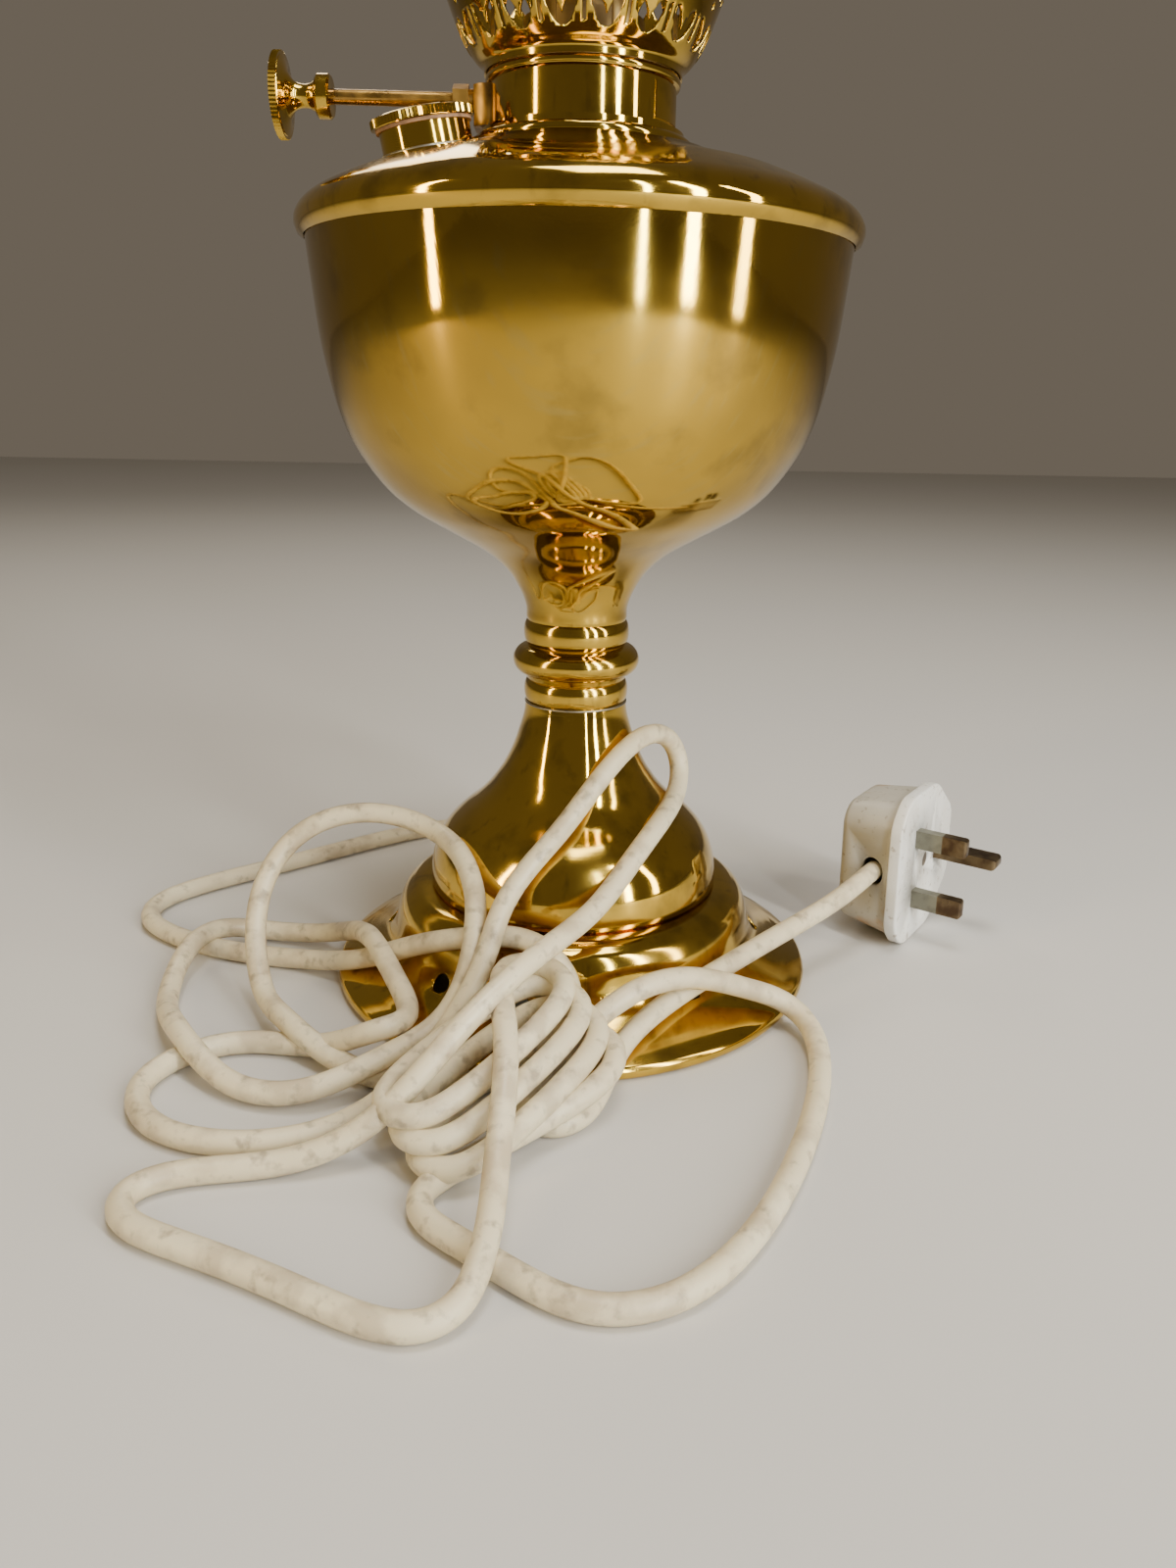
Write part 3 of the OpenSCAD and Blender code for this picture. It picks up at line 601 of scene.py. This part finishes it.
def winder_knob(brass):
    line = [(2.1, 71.6), (5.4, 71.6), (6, 72.2), (6, 75.2), (5.4, 75.8)] + flat(
        [(4.2, 76.2), (3.3, 78), (3.2, 80), (4, 82.2), (6.4, 83.9)], 4) + [
        (10.6, 84.7), (10.9, 85.2), (10.9, 86.6), (10.2, 87.1), (7, 86.4), (2.1, 86.4)]
    turned("winder_knob_turned", line, brass, "winder_knob", steps=96, place=WINDER)
    bm = knurl(11.6, 84.9, 86.9, 64)
    bmesh.ops.transform(bm, matrix=WINDER, verts=bm.verts)
    as_object(bm, "winder_knob_coin_edge", brass, "winder", sharp=20)


def slot_cutter(bm, width, height, place):
    made = bmesh.ops.create_cube(bm, size=1)
    size = Matrix.Diagonal((THROUGH * MM, width * MM, height * MM, 1))
    bmesh.ops.transform(bm, matrix=place @ size, verts=made["verts"])


MOTIFS = 18
PEARLS = 54


def gallery(brass):
    line = flat(
        [(28.2, 273.3), (28.6, 275.4), (31.1, 277.6), (34, 281.7), (36.7, 287.7), (39, 293.7),
         (41.1, 300), (42.3, 306), (42.3, 312), (41.4, 316.6), (41.5, 319.6), (42.6, 322)], 5)
    body = turned("gallery_pierced", line + inner_side(line, GALLERY_SHEET)[::-1], brass,
                  "gallery", steps=180)
    bm = bmesh.new()
    for i in range(MOTIFS):
        a = i * 360 / MOTIFS
        between = a + 180 / MOTIFS
        for side in (-1, 1):
            lower_leaf = at_heading(a + side * 3.5, 34, 282.2, side * -26)
            upper_leaf = at_heading(a + side * 3.5, 40.5, 302.3, side * 22)
            round_cutter(bm, 1.5, THROUGH, lower_leaf, 2.7)
            round_cutter(bm, 0.95, THROUGH, at_heading(between + side * 3.2, 38, 292.6))
            round_cutter(bm, 1.6, THROUGH, upper_leaf, 2.5)
        slot_cutter(bm, 1.0, 5.8, at_heading(between, 34.2, 282.6))
        round_cutter(bm, 0.9, THROUGH, at_heading(a, 36.8, 289.4))
        round_cutter(bm, 1.8, THROUGH, at_heading(between, 42, 310.8), 1.5)
    cutter = as_object(bm, "gallery_cutter", brass)
    drill(body, cutter, overlapping=True)
    bm = bmesh.new()
    for i in range(PEARLS):
        made = bmesh.ops.create_icosphere(bm, subdivisions=2, radius=0.8 * MM)
        place = at_heading((i + 0.5) * 360 / PEARLS, 40.0, 296.6)
        bmesh.ops.transform(bm, matrix=place, verts=made["verts"])
    as_object(bm, "gallery_bosses", brass, "gallery")


# ---- plug ----
PLUG_AT = (120, 15, 27)  # mm
PLUG_HEADING = -36  # degrees
PLUG = (
    Matrix.Translation([v * MM for v in PLUG_AT])
    @ Matrix.Rotation(math.radians(PLUG_HEADING), 4, "Z")
)
CORD_SIDE, EARTH_SIDE, HALF = -16, 36, 27  # mm, the edges of the plug's face
FLAT_PIN_AT = 11.1  # mm, each of the two from the middle
EARTH_AT = 22.2  # mm, from the line between the other two pins
SCREW_AT = 10  # mm, from the same line
PIN_BACK, SLEEVE_END = -12, 9.2  # mm
FLAT_HOLE, EARTH_HOLE = (2.03, 3.2), (4.03, 2.03)  # mm, half across and half up
FINE = 40  # segments of a round hole in the plug


def extruded(bm, face):
    """Extrudes the face by nothing, and gives the new vertices to be moved."""
    made = bmesh.ops.extrude_face_region(bm, geom=[face])
    return [v for v in made["geom"] if isinstance(v, bmesh.types.BMVert)]


def soften(bm, edges, width, segments, clamp=True):
    bmesh.ops.bevel(bm, geom=edges, offset=width * MM, offset_type="OFFSET", segments=segments,
                    profile=0.5, affect="EDGES", material=-1, clamp_overlap=clamp)


def plug_shell(front, back, inset, narrowing, corner, rim):
    """A plate or cover cut to the plug's outline: front face, back face, and softened edges."""
    w, near, far = HALF - inset, CORD_SIDE + inset, EARTH_SIDE - inset
    bm = bmesh.new()
    outline = [(near, -19), (near, 19), (-8, w), (18, w),
               (far, 13), (far, -13), (18, -w), (-8, -w)]
    face = bm.faces.new([bm.verts.new((front * MM, y * MM, z * MM)) for y, z in outline])
    moved = extruded(bm, face)
    middle = Vector((0, (near + far) / 2 * MM, 0))
    shrunk = 1 - narrowing / ((EARTH_SIDE - CORD_SIDE) / 2)
    bmesh.ops.scale(bm, vec=(1, shrunk, shrunk), verts=moved, space=Matrix.Translation(-middle))
    bmesh.ops.translate(bm, vec=((back - front) * MM, 0, 0), verts=moved)
    long_edges = [e for e in bm.edges if abs(e.verts[0].co.x - e.verts[1].co.x) > 1 * MM]
    soften(bm, long_edges, corner, 6)
    for at, width in ((front, rim[0]), (back, rim[1])):
        edges = [e for e in bm.edges if all(abs(v.co.x - at * MM) < 0.01 * MM for v in e.verts)]
        soften(bm, edges, width, 4)
    return bm


def add_block(bm, low, high):
    """A plain block between two corners in mm."""
    made = bmesh.ops.create_cube(bm, size=1)
    low, high = Vector(low) * MM, Vector(high) * MM
    place = Matrix.Translation((low + high) / 2) @ Matrix.Diagonal((*(high - low), 1))
    bmesh.ops.transform(bm, matrix=place, verts=made["verts"])


def add_pin_hole(bm, y, z, half):
    add_block(bm, (-6, y - half[0], z - half[1]), (2, y + half[0], z + half[1]))


def in_plug(bm, name, material, node):
    """Puts a piece made in the plug's own frame in its place, for a node of the plug."""
    bmesh.ops.transform(bm, matrix=PLUG, verts=bm.verts)
    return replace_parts(as_object(bm, name, material, "lamp"), node)


def plug_case(face, body):
    plate = in_plug(plug_shell(0, -4.4, 0, 0, 4, (0.8, 0.7)), "plug_face_plate", face,
                    "plug_base")
    bm = bmesh.new()
    for z in (-FLAT_PIN_AT, FLAT_PIN_AT):
        add_pin_hole(bm, 0, z, FLAT_HOLE)
    add_pin_hole(bm, EARTH_AT, 0, EARTH_HOLE)
    for radius, length, x in ((1.6, 12, -4), (3, 4, 0.4)):
        place = Matrix.Translation((x * MM, SCREW_AT * MM, 0))
        round_cutter(bm, radius, length, place, segments=FINE)
    bmesh.ops.transform(bm, matrix=PLUG, verts=bm.verts)
    drill(plate, as_object(bm, "plate_cutter", face), overlapping=True)

    cover = in_plug(plug_shell(-4.6, -24, 2.4, 2.8, 3, (0.7, 2.4)), "plug_cover_moulded", body,
                    "plug_cover")
    bm = bmesh.new()
    add_block(bm, (-20.5, -8.2, -15), (-3, 18, 15))
    add_block(bm, (-20.5, 17, -11.5), (-3, 27.6, 11.5))
    across = Matrix.Rotation(math.radians(90), 4, "Z")
    cord_hole = Matrix.Translation((-11 * MM, -11 * MM, 0)) @ across
    round_cutter(bm, 4.2, 12, cord_hole, 1.25, FINE)
    bmesh.ops.transform(bm, matrix=PLUG, verts=bm.verts)
    drill(cover, as_object(bm, "cover_cutter", body), overlapping=True)


def plug_pin(node, y, z, wide, high, tip, sleeved, rounding, metal):
    """A flat pin: its end rounded, and thinner where a sleeve covers it."""
    bm = bmesh.new()
    start = SLEEVE_END if sleeved else PIN_BACK
    add_block(bm, (start, y - wide / 2, z - high / 2), (tip, y + wide / 2, z + high / 2))
    if sleeved:
        back = min(bm.faces, key=lambda f: f.calc_center_median().x)
        bmesh.ops.inset_region(bm, faces=[back], thickness=0.52 * MM, use_even_offset=True)
        bmesh.ops.translate(bm, vec=((PIN_BACK - start) * MM, 0, 0), verts=extruded(bm, back))
    end = [e for e in bm.edges if all(v.co.x > (tip - 0.01) * MM for v in e.verts)]
    soften(bm, end, rounding, 6, clamp=False)
    in_plug(bm, node + "_worn", metal, node)


def plug_pins(metal):
    plug_pin("plug_live_pin", 0, FLAT_PIN_AT, 4, 6.35, 17.7, True, 1.2, metal)
    plug_pin("plug_neutral_pin", 0, -FLAT_PIN_AT, 4, 6.35, 17.7, True, 1.2, metal)
    plug_pin("plug_earth_pin", EARTH_AT, 0, 8, 4, 22.7, False, 1.8, metal)


# ---- flex ----
def coil_point(k):
    """A point of the wound middle: flattened turns that sink and step along as they go."""
    t = k / COIL_STEPS
    angle = math.radians(90 - 360 * t)
    swing = COIL_REACH * math.tanh(COIL_SHARPNESS * math.sin(angle))
    along = COIL_RADIUS * math.sin(angle) + swing
    across = COIL_RADIUS * math.cos(angle)
    way = Vector(COIL_WAY).normalized()
    beside = Vector((way.y, -way.x))
    middle = Vector(COIL_MIDDLE) + beside * TURN_STEP * (t - COIL_TURNS / 2)
    spot = middle + way * along + beside * across
    rise = COIL_TILT * (along + COIL_RADIUS + COIL_REACH)
    height = FLEX_RADIUS + TURN_DROP * (COIL_TURNS - t) + rise
    return (spot.x, spot.y, height)


def flex_line():
    coil = [coil_point(k) for k in range(-2, COIL_TURNS * COIL_STEPS + 4)]
    points = rounded(RUN_OUT + HIGH_LOOP + MIDDLE_LOOP + LOW_LOOP + LEANING_LOOP + FRONT_LOOP
                     + coil + RUN_TO_PLUG, 6)
    return [(p.x * MM, p.y * MM, max(p.z, FLEX_RADIUS) * MM) for p in points]


def lay_flex(sheath):
    points = flex_line()
    data = bpy.data.curves.new("flex", "CURVE")
    data.dimensions = "3D"
    data.bevel_depth, data.bevel_resolution = FLEX_RADIUS * MM, 4
    data.use_fill_caps = True
    spline = data.splines.new("POLY")
    spline.points.add(len(points) - 1)
    for spot, p in zip(spline.points, points):
        spot.co = (*p, 1)
    spline.use_smooth = True
    data.materials.append(sheath)
    flex = bpy.data.objects.new("flex", data)
    bpy.context.scene.collection.objects.link(flex)
    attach(flex, "lamp")
    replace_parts(flex, "flex_lamp_side", "flex_coil", "flex_plug_side")


# ---- CAD nodes that keep their shape ----
def finish_nodes(finishes):
    kept = {
        "brass": ["filler_neck", "maker_plate", "lampholder_base", "lampholder_barrel",
                  "shade_ring", "lampholder_nipple", "lampholder_locknut",
                  "contact_plunger_live", "contact_plunger_neutral"],
        "patina": ["winder_housing", "winder_gland", "winder_shaft"],
        "dull": ["foot_locknut", "draught_tube", "burner_deck", "outer_wick_tube", "wick_carrier",
                 "winder_pinion", "chimney_springs", "lampholder_bridge"],
        "cotton": ["wick"], "leather": ["filler_washer"], "bakelite": ["lampholder_insulator"],
        "sheath": ["inner_flex", "flex_grommet"],
        "plug": ["plug_cord_grip"], "pins": ["plug_screws"],
        "sleeve": ["plug_pin_sleeves"], "ceramic": ["plug_fuse"],
    }
    for finish, names in kept.items():
        for name in names:
            for place in frame["nodes"][name].material_slots:
                place.material = finishes[finish]


make_camera()
sheath = aged_flex()
lay_flex(sheath)
light_studio()
lay_floor()
brass, rubbed, grey = polished_brass(), rubbed_brass(), solder()
face, metal = plug_face(), pin_metal()
finish_nodes({
    "brass": brass, "patina": patina_brass(), "dull": dull_brass(), "cotton": wick_cotton(),
    "leather": washer_leather(), "bakelite": bakelite(), "sheath": sheath, "plug": face,
    "pins": metal, "sleeve": sleeve_plastic(), "ceramic": fuse_ceramic(),
})
foot_skirt(brass)
foot_bell(brass)
stem_knop(brass, grey)
font_bowl(rubbed)
font_shoulder(brass)
font_collar(brass)
filler_cap(brass, grey)
burner_collar(brass)
winder_knob(brass)
gallery(brass)
plug_case(face, plug_body())
plug_pins(metal)
